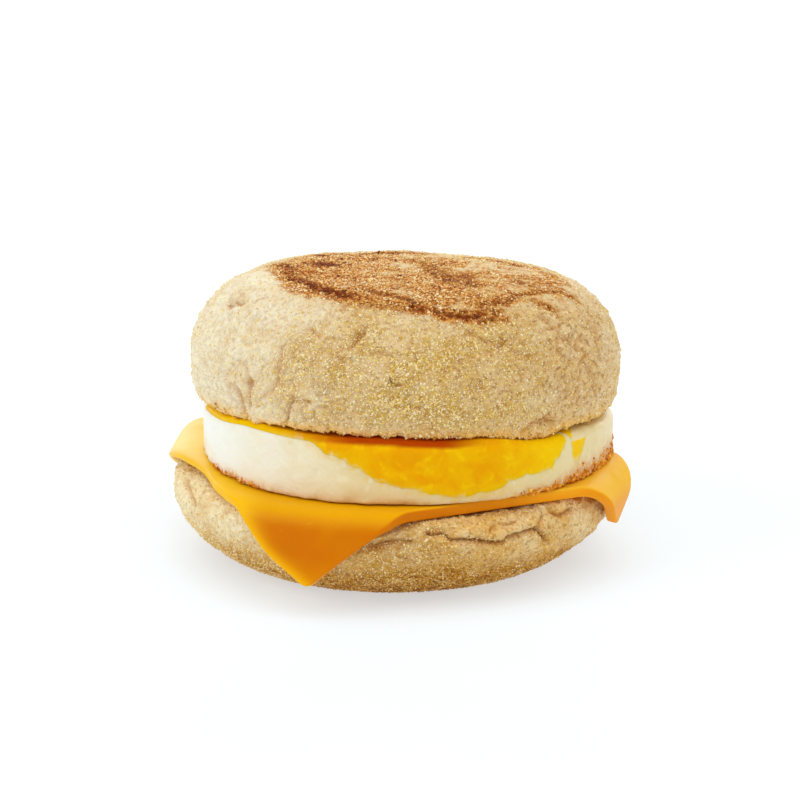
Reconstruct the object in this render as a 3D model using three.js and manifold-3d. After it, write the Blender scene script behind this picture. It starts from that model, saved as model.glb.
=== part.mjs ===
// Breakfast sandwich: a split, griddled muffin round a ring-cooked egg and a slice of cheese.
// Millimetres, +Z up. The origin is the middle of the flat base, and the side that opens faces -Y.
import * as THREE from "three";
import { ImprovedNoise } from "three/addons/math/ImprovedNoise.js";
import { mergeVertices } from "three/addons/utils/BufferGeometryUtils.js";
import Module from "manifold-3d";

const wasm = await Module();
wasm.setup();

// Heel, the lower half of the muffin: a shallow bowl, widest just under its cut rim
const HEEL_RADIUS = 51;
const HEEL_HEIGHT = 20.5;
const HEEL_WIDEST = 15;
const HEEL_BASE_RADIUS = 33;
const HEEL_RIM_RADIUS = 45.5;
const HEEL_BELLY_POWER = 1.25;
const HEEL_RIM_POWER = 0.8;

// Crown, the upper half: a thick round wall under a flat, browned top
const CROWN_RADIUS = 49.3;
const CROWN_RIM_RADIUS = 47.2;
const CROWN_HEIGHT = 30.2;
const CROWN_WIDEST = 9.5;
const CROWN_FLAT_RADIUS = 29;
const CROWN_DOME = 1;
const CROWN_SHOULDER_POWER = 0.96;
const CROWN_WALL_POWER = 2.5;
const CROWN_PLACE = new THREE.Vector3(2, 3, 35);
const CROWN_FRONT_UP = 3.9;
const CROWN_LEFT_UP = 1.7;
const CROWN_LEAN = 0.035;

// Cheese slice, laid cornerwise. Each corner reaches its own way out from the middle, sways a little
// to one side, and folds down past the heel. The front fold bows like the rim under it, and its flap
// spreads as it softens. The left fold is askew to its corner, which hangs down behind the heel's side.
const CHEESE_SIDE = 89;
const CHEESE_THICKNESS = 2.5;
const CHEESE_TURN = 22;
const CHEESE_CENTRE = new THREE.Vector2(-0.1, -1.5);
const CHEESE_STEPS = 26;
const CHEESE_BLUNT = 1.2;
const SOFT_FLAP = { bow: 0.007, spread: 0.13 };
const CHEESE_FOLDS = [
  { corner: "front", direction: 270, reach: 65, sway: 1.9, start: 47.3, radius: 4, bend: 79, ...SOFT_FLAP },
  { corner: "right", direction: 0, reach: 62.4, sway: 3, start: 47.9, radius: 5, bend: 100 },
  { corner: "back", direction: 90, reach: 64, sway: 0, start: 50, radius: 9, bend: 60 },
  { corner: "left", direction: 180, reach: 62.4, sway: 0, start: 48, radius: 5, bend: 92, skew: 17 },
];

// Egg, cooked in a ring: thicker at the front, with the broken yolk lying in its upper side
const EGG_RADIUS = 47.1;
const EGG_CENTRE = new THREE.Vector2(2.8, 0.5);
const EGG_THICKNESS = 10.25;
const EGG_FRONT_RISE = 3.2;
const EGG_LEFT_RISE = 1.4;
const EGG_DOME = 0.9;
const EGG_EDGE = 2;
const YOLK_MIDDLE_DEPTH = 5;
const YOLK_FILM = 0.5;
const YOLK_OVERFLOW = 3;
const YOLK_HEADROOM = 2;
const YOLK_CLEARANCE = 0.3;

// Depth of the yolk below the egg's top edge, round the wall: degrees from the front, then depth
const YOLK_EDGE = [
  [-180, -1.5], [-88, -1.5], [-76, YOLK_FILM], [-27, YOLK_FILM], [-14, 5.6], [0, 10],
  [18, 11.6], [27, 9.2], [38, 7.3], [45, 5], [50, 2.4], [55, 5], [61, -1.5], [180, -1.5],
];

const GAP = 0.3;
const AROUND = 72;
const EGG_AROUND = 60;
const YOLK_AROUND = 48;
const CUT_FACE_RINGS = 3;
const DEGREE = Math.PI / 180;

// Uneven dough: waves round the body, as number, phase and share of the radius, and lumps by noise
const CROWN_WAVES = [[2, 0.4, 0.006], [3, 2.1, 0.006], [5, 0.9, 0.004], [7, 4, 0.003]];
const HEEL_WAVES = [[2, 1.8, 0.004], [3, 0.3, 0.004], [5, 2.6, 0.004], [8, 1.1, 0.002]];
const EGG_WAVES = [[2, 0.8, 0.004], [3, 1.9, 0.004], [5, 3.3, 0.003]];
const LUMP_SIZE = 13;
const LUMP_HEIGHT = 0.5;
const noise = new ImprovedNoise();

// Creases in the crust, each a line over the wall: degrees from the front and height at its points
const CROWN_CREASES = [
  { depth: 1.1, width: 1.9, line: [[-50, 1], [-47, 6], [-40, 10], [-37, 15]] },
  { depth: 0.8, width: 1.7, line: [[-34, 2], [-33, 6], [-28, 7]] },
  { depth: 0.9, width: 1.8, line: [[-62, 19], [-55, 20]] },
  { depth: 0.6, width: 1.8, line: [[-16, 19], [-11, 23]] },
  { depth: 0.9, width: 2, line: [[48, 22], [56, 14], [57, 4]] },
  { depth: 0.7, width: 1.8, line: [[36, 3.5], [48, 4]] },
  { depth: 0.9, width: 2, line: [[110, 4], [122, 11], [126, 18]] },
  { depth: 0.9, width: 2, line: [[-112, 3], [-121, 9], [-138, 12]] },
  { depth: 0.8, width: 1.9, line: [[168, 5], [176, 12], [170, 20]] },
];
const HEEL_CREASES = [
  { depth: 1.1, width: 1.7, line: [[9, 16.5], [15, 13.5], [25, 13], [30, 12.5], [35, 15], [43, 16.5]] },
  { depth: 0.8, width: 1.6, line: [[-6, 13], [2, 14.5], [8, 17]] },
  { depth: 0.9, width: 1.7, line: [[-78, 17], [-70, 12], [-66, 8]] },
  { depth: 0.9, width: 1.8, line: [[95, 15], [108, 12.5], [120, 13.5]] },
  { depth: 0.9, width: 1.8, line: [[-165, 13], [-150, 15], [-138, 12]] },
];

// Degrees from the front, positive to the right.
function frontAngle(x, y) {
  return Math.atan2(x, -y) / DEGREE;
}

// Points from a ring at radius r to the axis, at one height, without the first.
function discPoints(r, z, rings) {
  const points = [];
  for (let i = 1; i <= rings; i++) points.push(new THREE.Vector2(r * (1 - i / rings), z));
  return points;
}

// A quarter of a rounded corner between two points of a profile, as fractions of its width and height.
function roundedQuarter(steps, power, place) {
  const points = [];
  for (let i = 0; i <= steps; i++) {
    const t = (i / steps) * 90 * DEGREE;
    points.push(place(Math.sin(t) ** power, Math.cos(t) ** power));
  }
  return points;
}

// The profile turned about +Z as one closed surface, with shared corners merged.
function turned(profile, around) {
  const lathe = new THREE.LatheGeometry(profile, around);
  lathe.deleteAttribute("normal");
  lathe.deleteAttribute("uv");
  return mergeVertices(lathe.rotateX(90 * DEGREE), 1e-4);
}

// Moves each corner of a surface to where a function puts it.
function reshape(geometry, move) {
  const position = geometry.getAttribute("position");
  const point = new THREE.Vector3();
  for (let i = 0; i < position.count; i++) {
    point.fromBufferAttribute(position, i);
    move(point);
    position.setXYZ(i, point.x, point.y, point.z);
  }
  return geometry;
}

function toSolid(geometry) {
  return new wasm.Manifold(
    new wasm.Mesh({
      numProp: 3,
      vertProperties: geometry.getAttribute("position").array,
      triVerts: new Uint32Array(geometry.index.array),
    }),
  );
}

// The largest body of a solid, as a surface: a cut may leave a loose scrap.
function toGeometry(solid) {
  const bodies = solid.decompose().sort((a, b) => b.volume() - a.volume());
  const mesh = bodies[0].getMesh();
  return new THREE.BufferGeometry()
    .setAttribute("position", new THREE.BufferAttribute(new Float32Array(mesh.vertProperties), 3))
    .setIndex(new THREE.BufferAttribute(new Uint32Array(mesh.triVerts), 1));
}

function waveFactor(waves, angle) {
  return waves.reduce((sum, [count, phase, share]) => sum + share * Math.cos(count * angle + phase), 1);
}

function segmentDistance(px, py, [ax, ay], [bx, by]) {
  const along = ((px - ax) * (bx - ax) + (py - ay) * (by - ay)) / ((bx - ax) ** 2 + (by - ay) ** 2);
  const t = THREE.MathUtils.clamp(along, 0, 1);
  return Math.hypot(px - ax - t * (bx - ax), py - ay - t * (by - ay));
}

// How deep the creases are at a place on a wall of the given radius.
function creaseDepth(creases, radius, angle, height) {
  const unroll = (degrees) => radius * degrees * DEGREE;
  let deepest = 0;
  for (const { depth, width, line } of creases) {
    for (let i = 1; i < line.length; i++) {
      const start = [unroll(line[i - 1][0]), line[i - 1][1]];
      const end = [unroll(line[i][0]), line[i][1]];
      const away = segmentDistance(unroll(angle), height, start, end) / width;
      deepest = Math.max(deepest, depth * Math.exp(-away * away));
    }
  }
  return deepest;
}

function lump(point, seed) {
  return LUMP_HEIGHT * noise.noise(point.x / LUMP_SIZE + seed, point.y / LUMP_SIZE, point.z / LUMP_SIZE);
}

// Shapes the round wall of a muffin half: waves, lumps and creases, all fading out on flat faces.
function shapeCrust(point, waves, creases, radius, seed, strength) {
  const r = Math.hypot(point.x, point.y);
  if (r < 1e-6 || strength <= 0) return;
  const angle = frontAngle(point.x, point.y);
  const relief = lump(point, seed) - creaseDepth(creases, radius, angle, point.z);
  const grown = r * waveFactor(waves, angle * DEGREE) + strength * relief;
  point.x *= grown / r;
  point.y *= grown / r;
}

function heel() {
  const width = HEEL_RADIUS - HEEL_BASE_RADIUS;
  const belly = roundedQuarter(10, HEEL_BELLY_POWER, (side, rise) =>
    new THREE.Vector2(HEEL_BASE_RADIUS + width * side, HEEL_WIDEST * (1 - rise)));
  const rim = roundedQuarter(5, HEEL_RIM_POWER, (rise, side) =>
    new THREE.Vector2(
      HEEL_RIM_RADIUS + (HEEL_RADIUS - HEEL_RIM_RADIUS) * side,
      HEEL_WIDEST + (HEEL_HEIGHT - HEEL_WIDEST) * rise,
    ));
  const base = discPoints(HEEL_BASE_RADIUS, 0, CUT_FACE_RINGS).reverse();
  const cut = discPoints(HEEL_RIM_RADIUS, HEEL_HEIGHT, CUT_FACE_RINGS);
  const profile = [...base, ...belly, ...rim.slice(1), ...cut];
  return reshape(turned(profile, AROUND), (point) => {
    const onWall = point.z > 0.01 && point.z < HEEL_HEIGHT - 0.01;
    shapeCrust(point, HEEL_WAVES, HEEL_CREASES, HEEL_RADIUS, 3.7, onWall ? 1 : 0);
  });
}

function crown() {
  const wall = [];
  for (const share of [0, 0.12, 0.3, 0.52, 0.76, 1]) {
    const inset = (CROWN_RADIUS - CROWN_RIM_RADIUS) * (1 - share) ** CROWN_WALL_POWER;
    wall.push(new THREE.Vector2(CROWN_RADIUS - inset, CROWN_WIDEST * share));
  }
  const top = CROWN_HEIGHT - CROWN_DOME;
  const shoulder = roundedQuarter(11, CROWN_SHOULDER_POWER, (rise, side) =>
    new THREE.Vector2(
      CROWN_FLAT_RADIUS + (CROWN_RADIUS - CROWN_FLAT_RADIUS) * side,
      CROWN_WIDEST + (top - CROWN_WIDEST) * rise,
    ));
  const dome = discPoints(CROWN_FLAT_RADIUS, top, 4);
  dome.forEach((point) => (point.y += CROWN_DOME * (1 - (point.x / CROWN_FLAT_RADIUS) ** 2)));
  const cut = discPoints(CROWN_RIM_RADIUS, 0, CUT_FACE_RINGS).reverse();
  const profile = [...cut, ...wall, ...shoulder.slice(1), ...dome];
  return reshape(turned(profile, AROUND), (point) => {
    shapeCrust(point, CROWN_WAVES, CROWN_CREASES, CROWN_RADIUS, 8.2, point.z > 0.01 ? 1 : 0);
    if (point.z > top - 0.5) point.z += lump(point, 5.1);
    point.x += CROWN_LEAN * Math.max(0, point.z - CROWN_WIDEST);
  });
}

// Bends the flat slice over its corner folds; the height of a point is across the thickness.
function drape(point) {
  const across = point.z;
  const origin = new THREE.Vector2();
  const even = CHEESE_SIDE * Math.SQRT1_2;
  const flat = new THREE.Vector2(point.x, point.y).rotateAround(origin, 45 * DEGREE);
  const shifted = new THREE.Vector2();
  let drop = 0;
  let lean = 0;
  for (const { direction, reach, sway, start, radius, bend, skew = 0, bow = 0, spread = 0 } of CHEESE_FOLDS) {
    const outward = new THREE.Vector2(1, 0).rotateAround(origin, direction * DEGREE);
    const sideways = new THREE.Vector2(-outward.y, outward.x);
    const overFold = outward.clone().rotateAround(origin, skew * DEGREE);
    const share = flat.dot(outward) / even;
    if (share <= 0) continue;
    const out = share * reach - (share > 0.999 ? CHEESE_BLUNT : 0);
    shifted.addScaledVector(outward, out).addScaledVector(sideways, share * sway);
    const aside = flat.dot(sideways);
    const toFold = out * Math.cos(skew * DEGREE) + aside * Math.sin(skew * DEGREE);
    const past = toFold - start + bow * aside * aside;
    if (past <= 0) continue;
    lean = Math.min(past / radius, bend * DEGREE);
    const straight = past - radius * lean;
    const run = radius * Math.sin(lean) + straight * Math.cos(lean);
    drop = radius * (1 - Math.cos(lean)) + straight * Math.sin(lean);
    shifted.addScaledVector(overFold, run - past + across * Math.sin(lean));
    shifted.addScaledVector(sideways, spread * aside * Math.min(1, past / radius));
  }
  shifted.rotateAround(origin, -CHEESE_TURN * DEGREE);
  point.set(shifted.x, shifted.y, across * Math.cos(lean) - drop);
}

function cheese() {
  const steps = CHEESE_STEPS;
  const box = new THREE.BoxGeometry(CHEESE_SIDE, CHEESE_SIDE, CHEESE_THICKNESS, steps, steps, 1);
  box.deleteAttribute("normal");
  box.deleteAttribute("uv");
  return reshape(mergeVertices(box, 1e-4), drape);
}

// Thickness of the egg at a place in its own plane: most at the front left, least at the back.
function eggThickness(x, y) {
  const rise = (EGG_FRONT_RISE * y + EGG_LEFT_RISE * x) / EGG_RADIUS;
  const dome = EGG_DOME * (1 - Math.min(1, Math.hypot(x, y) / EGG_RADIUS) ** 2);
  return EGG_THICKNESS - rise + dome;
}

function eggBody() {
  const bottomEdge = roundedQuarter(3, 1, (side, drop) =>
    new THREE.Vector2(EGG_RADIUS - EGG_EDGE * (1 - side), 0.2 * (1 - drop)));
  const topEdge = roundedQuarter(3, 1, (rise, side) =>
    new THREE.Vector2(EGG_RADIUS - EGG_EDGE * (1 - side), 0.85 + 0.15 * rise));
  const profile = [
    ...discPoints(EGG_RADIUS - EGG_EDGE, 0, CUT_FACE_RINGS).reverse(),
    ...bottomEdge,
    new THREE.Vector2(EGG_RADIUS, 0.5),
    ...topEdge,
    ...discPoints(EGG_RADIUS - EGG_EDGE, 1, CUT_FACE_RINGS + 1),
  ];
  return reshape(turned(profile, EGG_AROUND), (point) => {
    const share = point.z;
    const r = Math.hypot(point.x, point.y);
    const wave = r < 1e-6 ? 1 : waveFactor(EGG_WAVES, frontAngle(point.x, point.y) * DEGREE);
    point.x *= wave;
    point.y *= wave;
    point.z = share * eggThickness(point.x, point.y);
  });
}

function yolkDepthAtWall(angle) {
  const next = YOLK_EDGE.findIndex(([end]) => angle <= end);
  const [a, from] = YOLK_EDGE[Math.max(0, next - 1)];
  const [b, to] = YOLK_EDGE[Math.max(1, next)];
  return THREE.MathUtils.lerp(from, to, THREE.MathUtils.smoothstep(angle, a, b));
}

// The space that the yolk takes: a pool from above the egg down to the yolk's underside.
function yolkPool(extraDepth) {
  const brim = EGG_RADIUS + YOLK_OVERFLOW;
  const rings = 8;
  const profile = [
    ...discPoints(brim, -1, rings).reverse(),
    new THREE.Vector2(brim, -1),
    new THREE.Vector2(brim, 1),
    ...discPoints(brim, 1, CUT_FACE_RINGS),
  ];
  const pool = reshape(turned(profile, YOLK_AROUND), (point) => {
    const outward = Math.min(1, Math.hypot(point.x, point.y) / EGG_RADIUS);
    const toWall = THREE.MathUtils.smoothstep(outward, 0.25, 1);
    const wallDepth = yolkDepthAtWall(frontAngle(point.x, point.y));
    const middle = Math.min(YOLK_MIDDLE_DEPTH, eggThickness(point.x, point.y) - 2);
    const depth = THREE.MathUtils.lerp(middle, wallDepth, toWall);
    const top = eggThickness(point.x, point.y);
    point.z = point.z > 0 ? top + YOLK_HEADROOM : top - depth - extraDepth;
  });
  return toSolid(pool);
}

function eggPieces() {
  const egg = toSolid(eggBody());
  const white = egg.subtract(yolkPool(YOLK_CLEARANCE));
  const yolk = egg.intersect(yolkPool(0));
  return { white: toGeometry(white), yolk: toGeometry(yolk) };
}

function piece(name, geometry, colour, roughness) {
  geometry.computeVertexNormals();
  const material = new THREE.MeshStandardMaterial({ color: colour, roughness, metalness: 0 });
  const mesh = new THREE.Mesh(geometry, material);
  mesh.name = name;
  return mesh;
}

const cheeseLevel = HEEL_HEIGHT + GAP + CHEESE_THICKNESS / 2;
const eggLevel = cheeseLevel + CHEESE_THICKNESS / 2 + GAP;

const sandwich = new THREE.Group();
sandwich.add(piece("muffin_heel", heel(), 0xd3ab74, 0.9));

const slice = piece("cheese_slice", cheese(), 0xeea322, 0.4);
slice.position.set(CHEESE_CENTRE.x, CHEESE_CENTRE.y, cheeseLevel);
sandwich.add(slice);

const egg = new THREE.Group();
const { white, yolk } = eggPieces();
egg.add(piece("egg_white", white, 0xf0e8d0, 0.45));
egg.add(piece("egg_yolk", yolk, 0xeeb40c, 0.5));
egg.position.set(EGG_CENTRE.x, EGG_CENTRE.y, eggLevel);
sandwich.add(egg);

const crownGroup = new THREE.Group();
crownGroup.add(piece("muffin_crown", crown(), 0xdbb981, 0.9));
crownGroup.position.copy(CROWN_PLACE);
crownGroup.rotation.set(-CROWN_FRONT_UP * DEGREE, CROWN_LEFT_UP * DEGREE, 0);
sandwich.add(crownGroup);

export default sandwich;
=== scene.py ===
# Looks of a breakfast sandwich: a split, griddled muffin round a ring-cooked egg and a slice of cheese.
# Lengths in this script are millimetres and angles degrees, as in the part's own source. An angle is
# measured round the sandwich from the front, positive to the right. A finished mesh is in metres.
import math

import bmesh
import bpy
import numpy as np
from mathutils import Euler, Matrix, Vector


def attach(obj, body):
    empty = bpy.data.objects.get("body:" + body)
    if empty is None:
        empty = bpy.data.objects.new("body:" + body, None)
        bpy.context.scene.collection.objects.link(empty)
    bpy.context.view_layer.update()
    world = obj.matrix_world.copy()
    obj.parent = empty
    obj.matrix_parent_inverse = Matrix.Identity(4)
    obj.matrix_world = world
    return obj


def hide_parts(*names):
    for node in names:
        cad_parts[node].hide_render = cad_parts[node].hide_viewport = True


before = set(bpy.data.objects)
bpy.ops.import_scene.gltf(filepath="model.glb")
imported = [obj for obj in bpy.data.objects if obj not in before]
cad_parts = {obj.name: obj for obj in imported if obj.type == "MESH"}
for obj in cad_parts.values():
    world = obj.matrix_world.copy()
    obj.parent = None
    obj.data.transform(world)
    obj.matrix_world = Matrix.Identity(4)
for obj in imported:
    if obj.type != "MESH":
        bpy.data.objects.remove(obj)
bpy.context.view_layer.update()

MM = 0.001
DEGREE = math.pi / 180
MERGE = 1e-4

# Rounds: steps round each, the wedges they are made of, and how the crust's corners crowd to the front
CRUST_STEPS = 580
EGG_STEPS = 460
POOL_STEPS = 420
WEDGES = 10
FRONT_CROWDING = 0.3

# Heel, the lower half of the muffin
HEEL_RADIUS = 51
HEEL_HEIGHT = 20.5
HEEL_WIDEST = 15
HEEL_BASE_RADIUS = 33
HEEL_RIM_RADIUS = 45.5
HEEL_BELLY_POWER = 1.25
HEEL_RIM_POWER = 0.8

# Crown, the upper half, in its own frame: the rim is at height 0
CROWN_RADIUS = 49.3
CROWN_RIM_RADIUS = 47.2
CROWN_HEIGHT = 30.2
CROWN_WIDEST = 9.5
CROWN_FLAT_RADIUS = 29
CROWN_DOME = 1
CROWN_SHOULDER_POWER = 0.96
CROWN_WALL_POWER = 2.5
CROWN_PLACE = Vector((2, 3, 35))
CROWN_FRONT_UP = 3.9
CROWN_LEFT_UP = 1.7
CROWN_LEAN = 0.035

# Sag of the crown's rim at the right: how far, degrees from the front and width
CROWN_SAG = (1.5, 37, 8)

# Cheese slice, laid cornerwise over the heel, with a fold at each corner
CHEESE_SIDE = 89
CHEESE_THICKNESS = 2.5
CHEESE_TURN = 22
CHEESE_PLACE = Vector((-0.1, -1.5, 22.05))
CHEESE_GRID = 130
CHEESE_CORNER = 1.6
CHEESE_SOFT_EDGE = 0.5
CHEESE_THIN = 0.5
CHEESE_FOLDS = [
    {"direction": 270, "reach": 65, "sway": 1.9, "start": 47.3, "radius": 4, "bend": 79,
     "bow": 0.007, "spread": 0.13},
    {"direction": 0, "reach": 62.4, "sway": 3, "start": 47.9, "radius": 5, "bend": 100},
    {"direction": 90, "reach": 64, "sway": 0, "start": 50, "radius": 9, "bend": 60},
    {"direction": 180, "reach": 62.4, "sway": 0, "start": 48, "radius": 5, "bend": 92, "skew": 17},
]

# Bulges of the slice's left edge: how far, place along the edge and width
CHEESE_BULGES = [(-1.1, -24, 7.9), (1.95, -31.6, 10), (2.75, -9.6, 12), (2.45, 19.6, 11.5)]

# Egg, cooked in a ring, with the broken yolk lying in its upper side, and its upright wall between
# two shares of its thickness
EGG_RADIUS = 47.1
EGG_PLACE = Vector((2.8, 0.5, 23.6))
EGG_THICKNESS = 10.25
EGG_FRONT_RISE = 3.2
EGG_LEFT_RISE = 1.4
EGG_DOME = 0.9
EGG_EDGE = 2
EGG_LOW_EDGE = 0.8
EGG_WALL_SHARES = (0.07, 0.85)
EGG_SWELLS = [(1.1, -48, 18), (0.75, -8, 20), (0.75, 23, 10), (-0.5, 38, 9)]
YOLK_MIDDLE_DEPTH = 5
YOLK_OVERFLOW = 3
YOLK_HEADROOM = 2

# Depth of the yolk below the egg's top edge, round the wall: degrees from the front, then depth
YOLK_EDGE = [
    (-180, -1.5), (-88, -1.5), (-78, 0.9), (-62, 1.3), (-50, 1.1), (-27, 1.2), (-20, 3.7), (-14, 6.3),
    (-6, 9.2), (0, 10.5), (13, 11.9), (19, 12), (24, 10.8), (28.5, 8.9), (35, 6.8), (42, 6.7), (44.5, 5.2),
    (47, 3), (49.2, -1.2), (50.2, -1.4), (50.8, 3.4), (51.8, 6), (53.4, 6.6), (55.2, 5.7), (57, 3.6),
    (58.2, 0.8), (58.8, -1.5), (180, -1.5),
]

# Uneven rounds: waves as number, phase and share of the radius
CROWN_WAVES = [(2, 0.4, 0.006), (3, 2.1, 0.006), (5, 0.9, 0.004), (7, 4, 0.003)]
HEEL_WAVES = [(2, 1.8, 0.004), (3, 0.3, 0.004), (5, 2.6, 0.004), (8, 1.1, 0.002)]
EGG_WAVES = [(2, 0.8, 0.004), (3, 1.9, 0.004), (5, 3.3, 0.003)]

# Creases in the crust: depth, width, then the line as degrees from the front and height, and how far
# a crease is deepened, raised at its lips and wandering
CREASE_GAIN = 1.3
CREASE_LIP = 0.3
CREASE_WANDER = 0.35
CROWN_CREASES = [
    (0.8, 1.2, [(-49, 6.4), (-47, 4.4), (-46, 0)]),
    (0.6, 0.8, [(-43, 9.5), (-43.5, 6), (-43, 3.8)]),
    (0.5, 1.2, [(-34, 18), (-34, 14.5), (-33.5, 10.7), (-35, 8.2), (-39, 6.1)]),
    (0.6, 0.9, [(-28.5, 7.4), (-30, 4.8), (-32, 0.5)]),
    (0.5, 0.7, [(-29, 6.3), (-24, 6.8)]),
    (1.0, 0.8, [(-63, 24.1), (-60, 23.6), (-57, 24)]),
    (0.8, 0.7, [(-66, 23), (-61, 22.7)]),
    (0.6, 0.8, [(-28, 22), (-24, 20.6)]),
    (0.8, 0.9, [(-15, 19.1), (-14, 20.6), (-12, 22.4)]),
    (0.5, 0.7, [(-8, 18.4), (-4, 18)]),
    (0.4, 0.7, [(-19, 17.3), (-16, 16.1)]),
    (0.7, 0.6, [(-4, 12.6), (-1, 11.6)]),
    (0.4, 0.6, [(0, 7.4), (4, 6.8)]),
    (0.5, 1.1, [(43, 24.8), (46, 21.2), (52, 17)]),
    (0.6, 1.2, [(53, 14.7), (56, 10.4), (60, 6.1)]),
    (0.5, 1.2, [(62, 23), (61, 15), (65, 8)]),
    (0.9, 0.8, [(33, 1.2), (36, 2.5), (40, 3), (44, 2)]),
    (0.4, 0.8, [(26, 20), (32, 17), (36, 17.5)]),
    (0.9, 1.6, [(110, 3), (122, 11), (126, 18)]),
    (0.7, 0.9, [(96, 22), (101, 20), (108, 21)]),
    (0.9, 1.6, [(-112, 2), (-121, 9), (-138, 12)]),
    (0.6, 0.8, [(-96, 18), (-92, 14), (-94, 9)]),
    (0.8, 1.4, [(168, 3), (176, 12), (170, 20)]),
    (0.6, 0.8, [(-152, 21), (-160, 18), (-166, 20)]),
    (0.7, 0.9, [(140, 8), (147, 6.5), (152, 2)]),
]
HEEL_CREASES = [
    (1.4, 0.7, [(8, 18.4), (12, 18.2), (14, 16.8), (17, 16.6), (21, 16), (24, 15.4), (27, 14.6),
                (29, 15.8), (33, 16.3), (37, 16.5), (39, 15), (41, 13)]),
    (0.7, 0.6, [(37, 16.5), (39, 18), (41, 19.2)]),
    (0.6, 0.6, [(24, 17.4), (25, 18.4), (27, 18.8), (32, 18.7)]),
    (1.0, 0.9, [(44, 19.4), (45, 18.4), (47, 17.9), (51, 18.3)]),
    (0.4, 0.6, [(1, 13.4), (3, 12.7), (5, 12.2)]),
    (0.9, 0.8, [(-6, 16), (0, 17.2), (4, 17)]),
    (0.8, 1.1, [(-76, 19.6), (-68, 18.4), (-62, 17)]),
    (0.5, 0.7, [(-70, 15), (-66, 12), (-62, 11)]),
    (0.9, 0.9, [(95, 15), (108, 12.5), (120, 13.5), (126, 16)]),
    (0.9, 0.9, [(-165, 13), (-150, 15), (-138, 12)]),
    (0.7, 0.8, [(160, 16), (170, 14.5), (176, 16.5)]),
    (0.7, 0.8, [(-104, 17), (-112, 14), (-124, 15.5)]),
]

# Tan of the bare crust round the wall: degrees from the front, then share
CRUST_TAN = [
    (-180, 0.5), (-115, 0.45), (-75, 0.05), (-45, 0.2), (-10, 0.7), (30, 0.95), (62, 0.9), (85, 0.6),
    (180, 0.5),
]

# Griddle mark on the crown's top: its round patch, and scorched lines in plan as strength, width, line
GRIDDLE_MIDDLE = (2.5, -5)
GRIDDLE_RADIUS = 35
SCORCH_LINES = [
    (1.0, 1.7, [(-26.8, -16), (-24.6, -18.6), (-21, -25.2), (-17.6, -29.4), (-13.6, -32.6)]),
    (1.0, 3.4, [(-21, 5), (-18.4, 0)]),
    (0.6, 2.6, [(-30, 4), (-27, -3), (-27, -9)]),
    (0.6, 0.9, [(-11.1, -28.4), (-6.7, -32.1), (-3.4, -34), (-0.1, -36.1)]),
    (0.8, 0.75, [(0.4, -38.4), (3.2, -39.2), (6.5, -39.9), (9.7, -39.9), (13, -39.2), (15.2, -38.1)]),
    (0.5, 0.8, [(15.2, -38.1), (19.6, -35.8)]),
    (0.6, 0.8, [(15.2, -35.3), (20.7, -31.5), (23, -28.3), (24.6, -25.3), (27.6, -21.4), (30, -19.5)]),
    (0.4, 0.5, [(30, -19.5), (33.5, -16.9), (35.8, -15.9), (37.4, -16.5)]),
    (0.45, 2.6, [(2.2, 6.8), (5.6, -4.2), (8.3, -18.7)]),
    (0.45, 1.8, [(11.6, -8.1), (14.2, -22.2)]),
    (0.4, 1.6, [(23.6, -11.1), (26.7, -17)]),
    (0.4, 1.0, [(28.6, -26.7), (30.9, -26.8)]),
    (0.3, 1.3, [(-10.9, -35.8), (-5.4, -38.2), (1.1, -39.5)]),
    (0.3, 0.6, [(15.2, -39.7), (20.7, -37.2)]),
    (0.8, 1.2, [(-21, 20), (-9, 25), (4, 27)]),
    (0.6, 1.0, [(12, 24), (21, 18), (26, 10)]),
    (0.5, 1.8, [(-10, 8), (-4, 16)]),
]

# Pale crease across the griddle mark, in plan
PALE_CREASE = [(11.7, -4), (16.6, 21)]

# Sprinkled grains and crumbs: how many, and their sizes as middle, spread, least and most
CROWN_GRAINS = 22000
HEEL_GRAINS = 14000
GRAIN_SIZES = (0.42, 0.26, 0.2, 0.9)
CROWN_CRUMBS = 34000
HEEL_CRUMBS = 24000
CRUMB_SIZES = (0.27, 0.3, 0.12, 0.6)
RIM_CRUMBS = 3000
RIM_CRUMB_SIZES = (0.46, 0.35, 0.25, 1.3)
CRISPS = 2400
CRISP_SIZES = (0.43, 0.45, 0.15, 1.2)

# Growth of the grains where a crust is griddled, how far a grain sinks in and how far it slides along
CROWN_GROWTH = 0.6
HEEL_GROWTH = 0.1
GRAIN_SINK = 0.05
GRAIN_SLIDE = 0.25

# Heights above which the crown and the heel are strewn
CROWN_STREWN = 30
HEEL_STREWN = 0.6

# Colours of grains, light to dark, and where the colours of a ramp stand on it, by how many they are
GRIDDLED_GRAIN = [(255, 238, 186), (250, 210, 130), (226, 158, 68), (180, 94, 24), (108, 42, 6)]
BROWNED_GRAIN = [(244, 204, 124), (218, 166, 76), (188, 128, 40), (146, 88, 18), (100, 50, 6)]
CROWN_MEAL = [(252, 242, 208), (248, 228, 158), (238, 204, 84), (216, 168, 44), (164, 112, 40)]
HEEL_MEAL = [(252, 236, 188), (244, 214, 128), (228, 182, 62), (200, 146, 40), (150, 96, 32)]
CROWN_FLOUR = [(252, 244, 220), (244, 224, 178), (226, 190, 130), (192, 146, 86)]
HEEL_FLOUR = [(252, 238, 200), (238, 206, 146), (212, 164, 96), (170, 118, 60)]
FRIED_CRUMB = [(252, 206, 84), (232, 142, 14), (190, 96, 4), (140, 66, 2)]
RAMP_STOPS = {3: (0, 0.5, 1), 4: (0, 0.4, 0.8, 1), 5: (0, 0.3, 0.55, 0.8, 1)}

# Camera and picture
PICTURE_PIXELS = 800
CAMERA_ELEVATION = 15
CAMERA_DISTANCE = 650
CAMERA_AIM = Vector((1.2, 0, 34.75))
PIXEL_SIZE = 0.23
SENSOR = 36

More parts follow.
